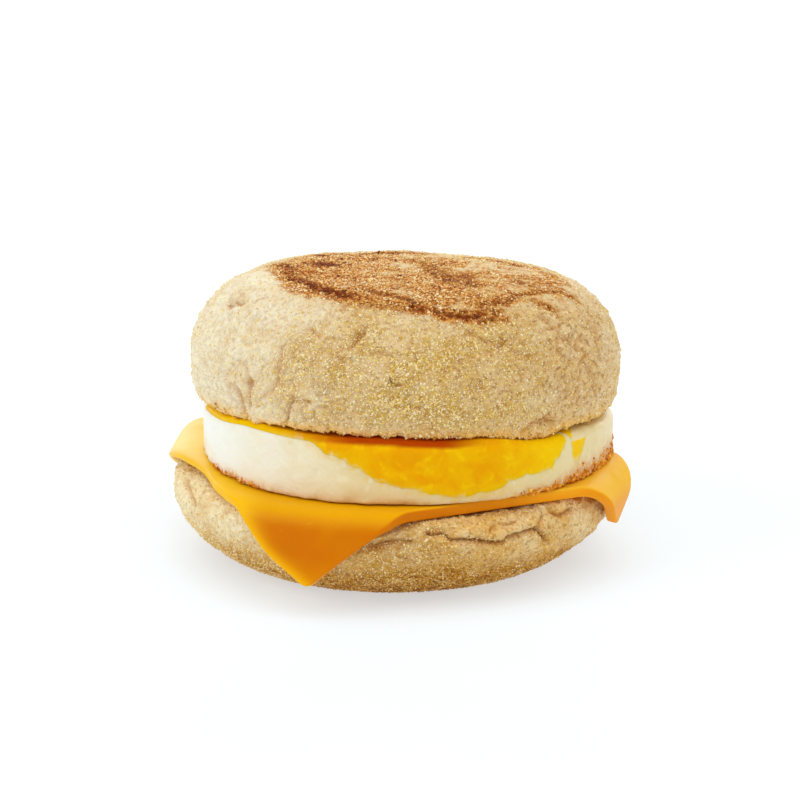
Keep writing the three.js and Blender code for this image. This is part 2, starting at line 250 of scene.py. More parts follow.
# Studio light: skylights as angle round the sandwich, height, softness and strength, then a bright panel
# upright behind it, which gives moist tops their sheen, and the floor, both in metres
WORLD_LIGHT = 0.55
SKYLIGHTS = {"overhead": (0, 78, 60, 0.65), "key": (-68, 36, 40, 0.8), "fill": (62, 36, 60, 0.45)}
PANEL = {"shape": "RECTANGLE", "size": 2.6, "size_y": 1.2, "energy": 15}
PANEL_PLACE = (0, 1.6, 0.65)
FLOOR_HALF = 6
FLOOR_GLOW = 0.545
FLOOR_TINT = (0.92, 0.965, 1, 1)

chance = np.random.default_rng(7)

# Slopes at the corners of a noise's cells, and the shuffled order in which cells take them
NOISE_CELLS = 256
NOISE_GAIN = 1.5
noise_order = np.random.default_rng(3).permutation(NOISE_CELLS)
noise_slopes = np.random.default_rng(5).normal(size=(NOISE_CELLS, 3))
noise_slopes /= np.linalg.norm(noise_slopes, axis=1)[:, None]


# Small mathematics on arrays of points

def unit(value):
    return np.clip(value, 0, 1)


def smoothstep(low, high, value):
    share = unit((value - low) / (high - low))
    return share * share * (3 - 2 * share)


def bell(distance, width):
    return np.exp(-(distance / width) ** 2)


def bumps(points, size, seed):
    """Smooth noise from about -1 to 1 at each point, with bumps of about the given size."""
    place = points / size + seed
    cell = np.floor(place).astype(int)
    inner = place - cell
    fade = inner ** 3 * (inner * (inner * 6 - 15) + 10)
    total = np.zeros(len(points))
    for corner in np.ndindex(2, 2, 2):
        x, y, z = ((cell + corner) % NOISE_CELLS).T
        order = noise_order[(noise_order[(noise_order[x] + y) % NOISE_CELLS] + z) % NOISE_CELLS]
        weight = np.where(corner, fade, 1 - fade).prod(axis=1)
        total += weight * np.sum(noise_slopes[order] * (inner - corner), axis=1)
    return NOISE_GAIN * total


def from_axis(points):
    """Distance from the upright axis through the middle."""
    return np.hypot(points[:, 0], points[:, 1])


def front_angle(points):
    return np.arctan2(points[:, 0], -points[:, 1]) / DEGREE


def near_angle(angle, middle, width):
    """How near an angle is to a middle, 0 to 1, the short way round."""
    return bell((angle - middle + 180) % 360 - 180, width)


def wave_factor(waves, angle):
    return 1 + sum(share * np.cos(count * angle * DEGREE + phase) for count, phase, share in waves)


def line_distance(x, y, line):
    nearest = np.full(x.shape, np.inf)
    for (ax, ay), (bx, by) in zip(line, line[1:]):
        dx, dy = bx - ax, by - ay
        share = unit(((x - ax) * dx + (y - ay) * dy) / (dx * dx + dy * dy))
        nearest = np.minimum(nearest, np.hypot(x - ax - share * dx, y - ay - share * dy))
    return nearest


def piecewise(table, value):
    """Smooth steps from one row of a table to the next."""
    result = np.full(value.shape, float(table[0][1]))
    for (a, start), (b, end) in zip(table, table[1:]):
        here = (value >= a) & (value <= b)
        result[here] = start + (end - start) * smoothstep(a, b, value[here])
    return result


# Meshes

def spun(profile, steps):
    """A closed round from profile points (radius, height), first and last on the axis, made in wedges."""
    bm = bmesh.new()
    corners = [bm.verts.new((radius, 0, height)) for radius, height in profile]
    for low, high in zip(corners, corners[1:]):
        bm.edges.new((low, high))
    wedge_turn = 2 * math.pi / WEDGES
    bmesh.ops.spin(bm, geom=bm.verts[:] + bm.edges[:], cent=(0, 0, 0), axis=(0, 0, 1),
                   angle=wedge_turn, steps=steps // WEDGES)
    wedge = bm.verts[:] + bm.edges[:] + bm.faces[:]
    for number in range(1, WEDGES):
        copied = bmesh.ops.duplicate(bm, geom=wedge)["geom"]
        turned = [part for part in copied if isinstance(part, bmesh.types.BMVert)]
        turn = Matrix.Rotation(number * wedge_turn, 3, "Z")
        bmesh.ops.rotate(bm, verts=turned, cent=(0, 0, 0), matrix=turn)
    bmesh.ops.remove_doubles(bm, verts=bm.verts, dist=MERGE)
    bmesh.ops.recalc_face_normals(bm, faces=bm.faces)
    return bm


def gathered(points):
    """Crowds the corners of a round towards its front, where the finest detail is."""
    angle = front_angle(points) * DEGREE
    out = from_axis(points)
    angle = angle - FRONT_CROWDING * np.sin(angle)
    return np.column_stack([out * np.sin(angle), -out * np.cos(angle), points[:, 2]])


def to_mesh(bm, name):
    mesh = bpy.data.meshes.new(name)
    bm.to_mesh(mesh)
    bm.free()
    mesh.shade_smooth()
    return mesh


def triples(items, name):
    flat = np.empty(len(items) * 3)
    items.foreach_get(name, flat)
    return flat.reshape(-1, 3)


def corners_of(mesh):
    return triples(mesh.vertices, "co")


def normals_of(mesh):
    return triples(mesh.vertex_normals, "vector")


def move_corners(mesh, points):
    mesh.vertices.foreach_set("co", points.ravel())
    mesh.update()


def store(mesh, **marks):
    """Keeps numbers at each corner, for the finish to read."""
    for name, values in marks.items():
        mark = mesh.attributes.new(name, "FLOAT", "POINT")
        mark.data.foreach_set("value", values.astype(np.float32))


def read(mesh, name):
    values = np.empty(len(mesh.vertices), np.float32)
    mesh.attributes[name].data.foreach_get("value", values)
    return values


def with_settings(thing, **settings):
    for name, value in settings.items():
        setattr(thing, name, value)
    return thing


def add_to_scene(name, data):
    thing = bpy.data.objects.new(name, data)
    bpy.context.scene.collection.objects.link(thing)
    return thing


def piece(mesh, finish, slot, *nodes):
    """Puts a finished mesh, in metres, into the scene as a piece of the sandwich."""
    mesh.materials.clear()
    mesh.materials.append(finish)
    thing = add_to_scene(mesh.name, mesh)
    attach(thing, "root")
    if nodes:
        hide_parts(*nodes)
    return thing


def arc(steps, power, inner, outer, low, high):
    """A quarter round from the outer radius at one height to the inner at another, shaped by a power."""
    turns = [i / steps * math.pi / 2 for i in range(steps + 1)]
    rounds = [(max(0, math.cos(turn)) ** power, math.sin(turn) ** power) for turn in turns]
    return [(inner + (outer - inner) * side, low + (high - low) * rise) for side, rise in rounds]


def disc(radius, height, rings):
    """Points from a ring to the axis, without the first."""
    return [(radius * (1 - i / rings), height) for i in range(1, rings + 1)]


# Crust of the muffin halves

def creases_at(points, radius, creases):
    """Depth of the creases at each point, with lips beside them, and how far inside one it is."""
    across = radius * front_angle(points) * DEGREE + CREASE_WANDER * bumps(points, 2.5, 31.7)
    height = points[:, 2] + CREASE_WANDER * bumps(points, 2.5, 57.3)
    depth = np.zeros(len(points))
    inside = np.zeros(len(points))
    for deep, width, line in creases:
        unrolled = [(radius * degrees * DEGREE, level) for degrees, level in line]
        away = line_distance(across, height, unrolled)
        slit = 0.6 * bell(away, 0.45 * width) + 0.4 * bell(away, width)
        depth += CREASE_GAIN * deep * (slit - CREASE_LIP * bell(away - 2 * width, width))
        inside = np.maximum(inside, min(1, deep) * bell(away, 0.5 * width))
    return depth, inside


def crinkles_at(points, size, seed):
    """Thin wandering wrinkles, 0 to 1, that come and go over the crust."""
    warped = points + 1.6 * np.stack([bumps(points, 4, seed + k) for k in (3, 7, 11)], axis=1)
    line = bell(bumps(warped, size, seed), 0.09)
    return line * smoothstep(-0.1, 0.45, bumps(points, 15, seed + 19))


def knobbles_at(points, size, seed):
    """Rounded knobs, about -0.3 to 0.7, and how far inside a furrow between them each point is."""
    coarse = np.abs(bumps(points, size, seed))
    fine = np.abs(bumps(points, 0.45 * size, seed + 5))
    return coarse + 0.5 * fine - 0.3, 1 - smoothstep(0.04, 0.3, coarse + 0.35 * fine)


def dough_relief(points, seed):
    """Lumps of the dough, large to fine."""
    return (0.5 * bumps(points, 13, seed) + 0.36 * bumps(points, 5.5, seed + 2)
            + 0.24 * bumps(points, 2.2, seed + 4) + 0.14 * bumps(points, 1.1, seed + 6))


def tan_at(points, angle):
    """How tan the bare crust is round the wall, 0 to 1: palest at the left."""
    return unit(piecewise(CRUST_TAN, angle) + 0.22 * bumps(points, 8, 83.1))


def meal_cover(points, angle, height, top):
    """How thickly cornmeal covers the wall, 0 to 1: most at the front, and in patches behind."""
    front = near_angle(angle, 5, 40) * (1 - 0.65 * smoothstep(26, 48, angle))
    behind = 0.7 * near_angle(angle, 150, 50) + 0.5 * near_angle(angle, -125, 35)
    level = smoothstep(-2, 0.18 * top, height) * (1 - 0.75 * smoothstep(0.6 * top, 0.95 * top, height))
    patches = 0.72 + 0.6 * bumps(points, 9, 41.5) + 0.4 * bumps(points, 4, 63.5)
    return unit((0.07 + np.maximum(front, behind)) * level * patches)


def crown_profile():
    cut = disc(CROWN_RIM_RADIUS, 0, 12)[::-1]
    width = CROWN_RADIUS - CROWN_RIM_RADIUS
    rises = [i / 22 for i in range(23)]
    wall = [(CROWN_RADIUS - width * (1 - rise) ** CROWN_WALL_POWER, CROWN_WIDEST * rise) for rise in rises]
    top = CROWN_HEIGHT - CROWN_DOME
    shoulder = arc(72, CROWN_SHOULDER_POWER, CROWN_FLAT_RADIUS, CROWN_RADIUS, CROWN_WIDEST, top)
    dome = [(radius, top + CROWN_DOME * (1 - (radius / CROWN_FLAT_RADIUS) ** 2))
            for radius, _ in disc(CROWN_FLAT_RADIUS, top, 52)]
    return cut + wall + shoulder[1:] + dome


def griddle_at(points):
    """Browning of the griddled top and its scorched lines, each 0 to 1."""
    x = points[:, 0] + 0.7 * bumps(points, 3, 12.1)
    y = points[:, 1] + 0.7 * bumps(points, 3, 45.9)
    reach = np.hypot(points[:, 0] - GRIDDLE_MIDDLE[0], points[:, 1] - GRIDDLE_MIDDLE[1])
    reach = reach + 1.6 * bumps(points, 7, 3.3) + 0.8 * bumps(points, 2.4, 8.8)
    patch = 1 - smoothstep(GRIDDLE_RADIUS - 4.5, GRIDDLE_RADIUS + 2.5, reach)
    uneven = 0.4 + 0.34 * bumps(points, 9, 71.3) + 0.4 * bumps(points, 3.2, 15.2)
    browning = patch * np.clip(uneven - 0.008 * points[:, 0] - 0.003 * points[:, 1], 0.1, 1)
    browning *= 1 - 0.8 * bell(line_distance(x, y, PALE_CREASE), 0.9)
    scorch = np.zeros(len(points))
    halo = np.zeros(len(points))
    for strength, width, line in SCORCH_LINES:
        away = line_distance(x, y, line)
        scorch = np.maximum(scorch, strength * bell(away, width))
        halo = np.maximum(halo, strength * bell(away, width + 0.7))
    scorch *= np.clip(0.85 + 0.5 * bumps(points, 2, 91.4), 0.3, 1.1)
    browning = np.maximum(browning, unit(halo))
    on_top = smoothstep(15, 21, points[:, 2])
    return browning * on_top, unit(scorch) * on_top


def crown_to_place(points):
    """Leans the crown, tips it and sets it on the egg."""
    leaned = points.copy()
    leaned[:, 0] += CROWN_LEAN * np.maximum(0, points[:, 2] - CROWN_WIDEST)
    front_up = Matrix.Rotation(-CROWN_FRONT_UP * DEGREE, 3, "X")
    left_up = Matrix.Rotation(CROWN_LEFT_UP * DEGREE, 3, "Y")
    return leaned @ np.array(front_up @ left_up).T + np.array(CROWN_PLACE)


def crust_round(profile, name):
    """Crust before its relief: the mesh, and its corners with their directions, angles and heights."""
    mesh = to_mesh(spun(profile, CRUST_STEPS), name)
    move_corners(mesh, gathered(corners_of(mesh)))
    start = corners_of(mesh)
    return mesh, start, normals_of(mesh), front_angle(start), start[:, 2]


def crown_mesh():
    mesh, start, outward, angle, height = crust_round(crown_profile(), "crown_crust")
    out = from_axis(start)
    on_crust = smoothstep(-0.1, 0.6, height)
    on_wall = 1 - smoothstep(25, 28.5, height)
    near_rim = bell(out - CROWN_RIM_RADIUS, 3)
    depth, inside = creases_at(start, CROWN_RADIUS, CROWN_CREASES)
    wrinkles = np.maximum(crinkles_at(start, 7, 5.5), 0.7 * crinkles_at(start, 4, 25.5))
    browning, scorch = griddle_at(start)
    relief = dough_relief(start, 8.2) * (1 - 0.45 * smoothstep(26, 29, height))
    relief -= on_wall * (depth + 0.55 * wrinkles) + 0.35 * scorch
    at_left = near_angle(angle, -60, 34)
    at_right = near_angle(angle, 52, 17) * smoothstep(2, 7, height)
    knobs, furrows = knobbles_at(start * (1, 1, 1.7), 4.4, 35.1)
    knobbly = on_wall * np.clip(0.35 + 0.45 * at_left + 1.2 * at_right, 0, 1.5)
    relief += knobbly * knobs
    wrinkles = np.maximum(wrinkles, 0.95 * knobbly * furrows)
    ragged = 0.55 * bumps(start, 3.4, 23.9) + 0.35 * bumps(start, 1.4, 77.1)
    points = start.copy()
    swell = wave_factor(CROWN_WAVES, angle)
    points[:, :2] *= (1 + (swell - 1) * on_crust)[:, None]
    points += outward * (relief * on_crust)[:, None]
    points[:, 2] += np.where(height < 4, bell(height, 2.2) * ragged * near_rim, 0)
    sag, middle, width = CROWN_SAG
    points[:, 2] -= sag * near_angle(angle, middle, width) * bell(height, 3) * near_rim
    under = (height < 0.01) & (out < 45)
    points[under, 2] += np.abs(0.9 * bumps(start[under], 3, 66.1))
    store(
        mesh, browning=browning, scorch=scorch,
        # painted shade in the creases, wrinkles and furrows
        crease=unit(inside + 0.5 * wrinkles) * on_wall,
        meal=meal_cover(start, angle, height, CROWN_HEIGHT) * (1 - browning),
        tan=tan_at(start, angle),
        # the rim's toast, with a painted warm glow thrown up from the yolk
        toast=bell(height, 1.5) * unit(0.85 + 0.5 * bumps(start, 6, 37)))
    move_corners(mesh, crown_to_place(points) * MM)
    return mesh


def heel_profile():
    belly = arc(78, HEEL_BELLY_POWER, HEEL_BASE_RADIUS, HEEL_RADIUS, HEEL_WIDEST, 0)[::-1]
    rim = arc(30, HEEL_RIM_POWER, HEEL_RIM_RADIUS, HEEL_RADIUS, HEEL_WIDEST, HEEL_HEIGHT)
    base = disc(HEEL_BASE_RADIUS, 0, 14)[::-1]
    cut = disc(HEEL_RIM_RADIUS, HEEL_HEIGHT, 14)
    return base + belly + rim[1:] + cut


def heel_mesh():
    mesh, start, outward, angle, height = crust_round(heel_profile(), "heel_crust")
    out = from_axis(start)
    on_crust = smoothstep(0, 2.5, height) * smoothstep(HEEL_RIM_RADIUS - 4, HEEL_RIM_RADIUS + 0.5, out)
    depth, inside = creases_at(start, HEEL_RADIUS, HEEL_CREASES)
    wrinkles = crinkles_at(start, 6, 9.5)
    rim = smoothstep(16, 19.5, height) * smoothstep(43, 46, out)
    torn = rim * (0.7 * np.abs(bumps(start, 3.2, 13.9)) + 0.35 * np.abs(bumps(start, 1.3, 27.1)))
    flap = near_angle(angle, 28, 19) * smoothstep(16, 17.2, height) * smoothstep(45, 46, out)
    craggy = flap * (0.8 * np.abs(bumps(start, 2.6, 19.3)) + 0.3 * bumps(start, 1.2, 43.7))
    relief = dough_relief(start, 3.7) - depth - 0.35 * wrinkles - torn + craggy
    knobs, furrows = knobbles_at(start * (1, 1, 1.5), 4, 55.1)
    relief += 0.4 * knobs
    wrinkles = np.maximum(wrinkles, 0.5 * furrows)
    points = start.copy()
    swell = wave_factor(HEEL_WAVES, angle)
    points[:, :2] *= (1 + (swell - 1) * smoothstep(0, 2, height))[:, None]
    points += outward * (np.minimum(relief, 0.6) * on_crust)[:, None]
    points[:, 2] = np.clip(points[:, 2], 0, HEEL_HEIGHT)
    behind = smoothstep(100, 140, np.abs(angle))
    # Browning low on the wall: partly the griddled base, partly painted shade near the floor, whose glow
    # would otherwise light it
    griddled = np.maximum(0.45 + 0.55 * near_angle(angle, 4, 32), behind) * bell(height, 8)
    low_left = near_angle(angle, -43, 26) * bell(height - 6, 7)
    low_left *= 1.15 + 0.5 * bumps(start, 4, 29)
    meal = meal_cover(start, angle, height, HEEL_HEIGHT + 12) * (1 - 0.7 * flap)
    meal *= 1 - 0.5 * smoothstep(0, 30, angle) * (1 - smoothstep(80, 110, angle))
    store(
        mesh, browning=unit(griddled * (0.8 + 0.4 * bumps(start, 5, 51))), scorch=np.zeros(len(start)),
        # painted shade in the creases, wrinkles and furrows
        crease=unit(inside + 0.5 * wrinkles) * on_crust,
        meal=unit(np.maximum(meal, low_left)),
        tan=np.maximum(tan_at(start, angle) - 0.08, 0.02),
        toast=unit(0.4 * rim * (0.5 + 0.5 * bumps(start, 5, 33))))
    move_corners(mesh, points * MM)
    return mesh


# Scattered grains

def grain_shape(sides):
    """Corners and faces of one grain, one across: a lump of eight sides, or a crumb of four."""
    bm = bmesh.new()
    if sides == 4:
        bmesh.ops.create_cone(bm, cap_ends=True, segments=3, radius1=0.55, radius2=0, depth=0.8)
    else:
        bmesh.ops.create_uvsphere(bm, u_segments=4, v_segments=2, radius=0.5)
    bm.verts.index_update()
    corners = np.array([corner.co[:] for corner in bm.verts])
    faces = np.array([[corner.index for corner in face.verts] for face in bm.faces])
    bm.free()
    return corners, faces


def tumbled(shapes):
    """Shapes each turned its own way, by a turn drawn evenly from all there are."""
    spins = chance.normal(size=(len(shapes), 1, 4))
    spins /= np.linalg.norm(spins, axis=2, keepdims=True)
    amount, axis = spins[..., :1], spins[..., 1:]
    return shapes + 2 * np.cross(axis, np.cross(axis, shapes) + amount * shapes)


def grains(name, sides, places, sizes, tints, toasted):
    """One mesh of many grains, each turned its own way; places are in metres and sizes in millimetres."""
    corners, faces = grain_shape(sides)
    count = len(places)
    stretch = chance.uniform(0.7, 1.3, size=(count, len(corners), 1))
    shaped = corners[None] * stretch * (sizes * MM)[:, None, None]
    points = tumbled(shaped) + places[:, None]
    first = (np.arange(count) * len(corners))[:, None, None]
    mesh = bpy.data.meshes.new(name)
    mesh.from_pydata(points.reshape(-1, 3).tolist(), [], (faces[None] + first).reshape(-1, 3).tolist())
    store(mesh, tint=np.repeat(tints, len(corners)), toasted=np.repeat(toasted, len(corners)))
    mesh.update()
    return mesh


def strewn(mesh, count, weights):
    """Places on a mesh's surface, drawn by weight, and the corner that each lies beside."""
    drawn = chance.choice(len(mesh.vertices), size=count, p=weights / weights.sum())
    outward = normals_of(mesh)[drawn]
    slide = chance.normal(scale=GRAIN_SLIDE * MM, size=(count, 3))
    slide -= outward * np.sum(slide * outward, axis=1)[:, None]
    return corners_of(mesh)[drawn] + slide, drawn


def drawn_sizes(count, sizes):
    middle, spread, least, most = sizes
    return np.clip(chance.lognormal(math.log(middle), spread, count), least, most)


def corner_areas(mesh):
    """The share of the surface that each corner stands for."""
    areas = np.zeros(len(mesh.vertices))
    for face in mesh.polygons:
        areas[list(face.vertices)] += face.area / len(face.vertices)
    return areas


def crust_marks(crust):
    return [read(crust, name) for name in ("meal", "browning", "scorch", "toast", "tan")]


def cornmeal(name, crust, count, growth, bare):
    """Cornmeal over a crust: gold and cream grains, toasted where the crust is brown."""
    meal, browning, scorch, toast, tan = crust_marks(crust)
    cover = (0.014 + meal + 0.5 * browning + 0.5 * toast) * (1 - 0.5 * scorch)
    places, drawn = strewn(crust, count, corner_areas(crust) * cover * bare)
    sizes = drawn_sizes(count, GRAIN_SIZES)
    sizes *= 1 + growth * unit(browning[drawn])
    dark = unit(tan[drawn] + browning[drawn])
    tints = chance.beta(1.0, 1.4, count) * (0.65 + 0.35 * dark)
    clumps = bumps(places / MM, 2.6, 52.4) + 0.7 * (browning[drawn] - 0.5)
    clumps *= smoothstep(0.05, 0.3, browning[drawn])
    tints = unit(tints + 0.4 * clumps + 0.7 * scorch[drawn])
    toasted = unit(1.6 * browning[drawn] + 0.8 * toast[drawn])
    places -= normals_of(crust)[drawn] * (sizes * MM * GRAIN_SINK)[:, None]
    return grains(name, 8, places, sizes, tints, toasted)


def crumbs(name, crust, count, bare):
    """Fine floury crumbs that roughen the crust all over."""
    meal, browning, scorch, toast, tan = crust_marks(crust)
    cover = (0.16 + 0.6 * meal + 0.3 * browning) * (1 - 0.9 * scorch)
    places, drawn = strewn(crust, count, corner_areas(crust) * cover * bare)
    sizes = drawn_sizes(count, CRUMB_SIZES)
    tints = chance.beta(1.2, 2.4, count) + 0.3 * (tan[drawn] - 0.3)
    tints = unit(tints + 0.9 * scorch[drawn])
    toasted = unit(1.3 * browning[drawn] + 0.6 * toast[drawn])
    return grains(name, 4, places, sizes, tints, toasted)


def rim_crumbs(crown, bare):
    """Coarse toasted crumbs along the crown's torn lower rim."""
    weights = corner_areas(crown) * unit(read(crown, "toast") - 0.2) ** 2 * bare
    places, _ = strewn(crown, RIM_CRUMBS, weights)
    sizes = drawn_sizes(RIM_CRUMBS, RIM_CRUMB_SIZES)
    tints = chance.beta(1.4, 1.4, RIM_CRUMBS)
    return grains("rim_crumbs", 8, places, sizes, tints, chance.uniform(0, 0.7, RIM_CRUMBS))


# Cheese slice

def rounded_corners(points):
    """Draws the square's corners in to a small round."""
    half = CHEESE_SIDE / 2 - CHEESE_CORNER
    over = np.abs(points[:, :2]) - half
    corner = (over > 0).all(axis=1)
    far = over[corner].max(axis=1) / np.hypot(*over[corner].T)
    points[corner, :2] = np.sign(points[corner, :2]) * (half + over[corner] * far[:, None])
    return points


def draped(points):
    """Bends the flat slice down over its corner folds."""
    even = CHEESE_SIDE / math.sqrt(2)
    turn = np.array(Matrix.Rotation(45 * DEGREE, 2))
    flat = points[:, :2] @ turn.T
    shifted = np.zeros_like(flat)
    drop = np.zeros(len(points))
    for fold in CHEESE_FOLDS:
        direction = fold["direction"] * DEGREE
        outward = np.array([math.cos(direction), math.sin(direction)])
        sideways = np.array([-outward[1], outward[0]])
        skew = fold.get("skew", 0) * DEGREE
        over_fold = outward * math.cos(skew) + sideways * math.sin(skew)
        share = flat @ outward / even
        here = share > 0
        out = share * fold["reach"]
        shifted[here] += np.outer(out, outward)[here] + np.outer(share * fold["sway"], sideways)[here]
        aside = flat @ sideways
        past = out * math.cos(skew) + aside * math.sin(skew) - fold["start"]
        past += fold.get("bow", 0) * aside ** 2
        bent = here & (past > 0)
        lean = np.minimum(past / fold["radius"], fold["bend"] * DEGREE)
        straight = past - fold["radius"] * lean
        run = fold["radius"] * np.sin(lean) + straight * np.cos(lean)
        drop[bent] = (fold["radius"] * (1 - np.cos(lean)) + straight * np.sin(lean))[bent]
        shifted[bent] += np.outer(run - past, over_fold)[bent]
        widen = fold.get("spread", 0) * aside * np.minimum(1, past / fold["radius"])
        shifted[bent] += np.outer(widen, sideways)[bent]
    turned = shifted @ np.array(Matrix.Rotation(-CHEESE_TURN * DEGREE, 2)).T
    return np.column_stack([turned, -drop]) + np.array(CHEESE_PLACE)


def cheese_mesh():
    bm = bmesh.new()
    bmesh.ops.create_grid(bm, x_segments=CHEESE_GRID, y_segments=CHEESE_GRID, size=CHEESE_SIDE / 2)
    bmesh.ops.recalc_face_normals(bm, faces=bm.faces)
    mesh = to_mesh(bm, "cheese")
    flat = corners_of(mesh)
    from_left = flat[:, 0] + CHEESE_SIDE / 2
    share = 1 - (1 - CHEESE_THIN) * bell(from_left, 22) * smoothstep(-40, 30, flat[:, 1])
    flat = rounded_corners(flat)
    for height, place, width in CHEESE_BULGES:
        flat[:, 0] -= height * bell(flat[:, 1] - place, width) * bell(from_left, 9)
    # nearness to the left edge, where the finish paints a highlight
    store(mesh, rim=bell(from_left, 1.6))
    points = draped(flat)
    points[:, 2] += 0.12 * bumps(points, 16, 4.4) * smoothstep(44, 50, from_axis(points))
    move_corners(mesh, points * MM)
    raised = corners_of(mesh) + normals_of(mesh) * ((1 - share) * CHEESE_THICKNESS / 2 * MM)[:, None]
    move_corners(mesh, raised)
    return mesh, share


def add_thickness(thing, share):
    """Gives the slice its thickness, less at the left edge, and soft edges."""
    group = thing.vertex_groups.new(name="thickness")
    for number, weight in enumerate(share):
        group.add([number], weight, "REPLACE")
    with_settings(thing.modifiers.new("thickness", "SOLIDIFY"), vertex_group=group.name,
                  thickness=CHEESE_THICKNESS * MM, offset=0, use_even_offset=True)
    with_settings(thing.modifiers.new("soft edge", "BEVEL"), width=CHEESE_SOFT_EDGE * MM, segments=3,
                  limit_method="ANGLE", angle_limit=50 * DEGREE)


# Egg

def egg_thickness(points):
    rise = (EGG_FRONT_RISE * points[:, 1] + EGG_LEFT_RISE * points[:, 0]) / EGG_RADIUS
    out = np.minimum(1, from_axis(points) / EGG_RADIUS)
    angle = front_angle(points)
    swell = sum(height * near_angle(angle, middle, width) for height, middle, width in EGG_SWELLS)
    return EGG_THICKNESS - rise + EGG_DOME * (1 - out ** 2) + swell * smoothstep(0.6, 0.95, out)


def egg_body():
    inner = EGG_RADIUS - EGG_EDGE
    foot = EGG_RADIUS - EGG_LOW_EDGE
    low, high = EGG_WALL_SHARES
    bottom = arc(8, 1, foot, EGG_RADIUS, low, 0)[::-1]
    top = arc(8, 1, inner, EGG_RADIUS, high, 1)
    wall = [(EGG_RADIUS, low + (high - low) * i / 12) for i in range(1, 12)]
    profile = disc(foot, 0, 12)[::-1] + bottom + wall + top + disc(inner, 1, 20)
    mesh = to_mesh(spun(profile, EGG_STEPS), "egg_body")
    points = corners_of(mesh)
    share = points[:, 2].copy()
    angle = front_angle(points)
    out = from_axis(points)
    points[:, :2] *= wave_factor(EGG_WAVES, angle)[:, None]
    points[:, 2] = share * egg_thickness(points)
    on_wall = smoothstep(EGG_RADIUS - 4, EGG_RADIUS - 1.5, out)
    relief = 0.35 * bumps(points, 9, 6.2) + 0.16 * bumps(points, 3.4, 2.8) + 0.06 * bumps(points, 1.3, 9.1)
    lace = bell(points[:, 2], 1.4) * (0.5 * bumps(points, 4, 17.7) + 0.3 * bumps(points, 1.6, 28.3))
    grown = 1 + on_wall * (relief + lace) / np.maximum(out, 1)
    points[:, :2] *= grown[:, None]
    move_corners(mesh, points)
    return mesh


def yolk_edge_depth(points):
    """Depth of the yolk's ragged border below the egg's top, round the wall."""
    angle = front_angle(points)
    turn = angle * DEGREE
    around = np.column_stack([np.cos(turn), np.sin(turn), np.zeros(len(turn))]) * EGG_RADIUS
    depth = piecewise(YOLK_EDGE, angle)
    ragged = 0.7 * bumps(around, 4.5, 61.2) + 0.45 * bumps(around, 1.7, 14.6)
    return depth + ragged * smoothstep(0, 6, depth)


def yolk_pool():
    """The space that the yolk takes: from above the egg down to the yolk's underside."""
    brim = EGG_RADIUS + YOLK_OVERFLOW
    profile = disc(brim, -1, 40)[::-1] + [(brim, -1), (brim, 1)] + disc(brim, 1, 6)
    mesh = to_mesh(spun(profile, POOL_STEPS), "yolk_pool")
    points = corners_of(mesh)
    out = np.minimum(1, from_axis(points) / EGG_RADIUS)
    top = egg_thickness(points)
    middle = np.minimum(YOLK_MIDDLE_DEPTH, top - 2)
    depth = middle + (yolk_edge_depth(points) - middle) * smoothstep(0.25, 0.97, out)
    points[:, 2] = np.where(points[:, 2] > 0, top + YOLK_HEADROOM, top - depth)
    move_corners(mesh, points)
    return mesh


def cut_egg(body, pool, operation, name):
    """The egg's body with the pool taken out of it, or the part that fills the pool."""
    things = [add_to_scene("cutting", mesh) for mesh in (body, pool)]
    cut = things[0].modifiers.new("cut", "BOOLEAN")
    with_settings(cut, operation=operation, solver="MANIFOLD", object=things[1])
    evaluated = things[0].evaluated_get(bpy.context.evaluated_depsgraph_get())
    mesh = bpy.data.meshes.new_from_object(evaluated)
    mesh.name = name
    for thing in things:
        bpy.data.objects.remove(thing)
    points = corners_of(mesh)
    border = egg_thickness(points) - yolk_edge_depth(points)
    inset = EGG_RADIUS - from_axis(points)
    store(mesh, yolk_side=points[:, 2] - border, fried=fried_edge(points), inset=inset)
    mesh.shade_smooth()
    mesh.set_sharp_from_angle(angle=55 * DEGREE)
    move_corners(mesh, (points + np.array(EGG_PLACE)) * MM)
    return mesh


def fried_edge(points):
    """How browned the egg's lower edge is, 0 to 1: most at the right, a little at the left."""
    angle = front_angle(points)
    right = smoothstep(24, 44, angle) * (1 - smoothstep(86, 110, angle))
    left = 0.75 * near_angle(angle, -54, 13)
    behind = 0.6 * near_angle(angle, 165, 25) + 0.5 * near_angle(angle, -120, 14)
    tall = 1.2 + 0.7 * bumps(points, 3, 38.6) + 1.7 * smoothstep(40, 56, angle) * right
    low = bell(np.maximum(0, points[:, 2] - 0.2), tall)
    return unit(np.maximum.reduce([right, left, behind]) + 0.18) * low


def egg_crisps(white):
    """Crisp brown crumbs along the egg's lower edge."""
    fried = read(white, "fried")
    points = corners_of(white) / MM
    wall = from_axis(points - np.array(EGG_PLACE)) > EGG_RADIUS - 1.2
    clumps = smoothstep(-0.15, 0.5, bumps(points, 2.2, 71.9))
    places, _ = strewn(white, CRISPS, unit(fried - 0.22) ** 1.5 * (0.08 + clumps) * wall)
    sizes = drawn_sizes(CRISPS, CRISP_SIZES)
    tints = chance.beta(1.3, 1.5, CRISPS)
    return grains("egg_crisps", 8, places, sizes, tints, np.ones(CRISPS))


# Finishes

def colour(red, green, blue):
    """A colour as the eye reads it, from 0 to 255, as the shader's linear numbers."""
    shares = [value / 255 for value in (red, green, blue)]
    return [s / 12.92 if s <= 0.04045 else ((s + 0.055) / 1.055) ** 2.4 for s in shares] + [1]


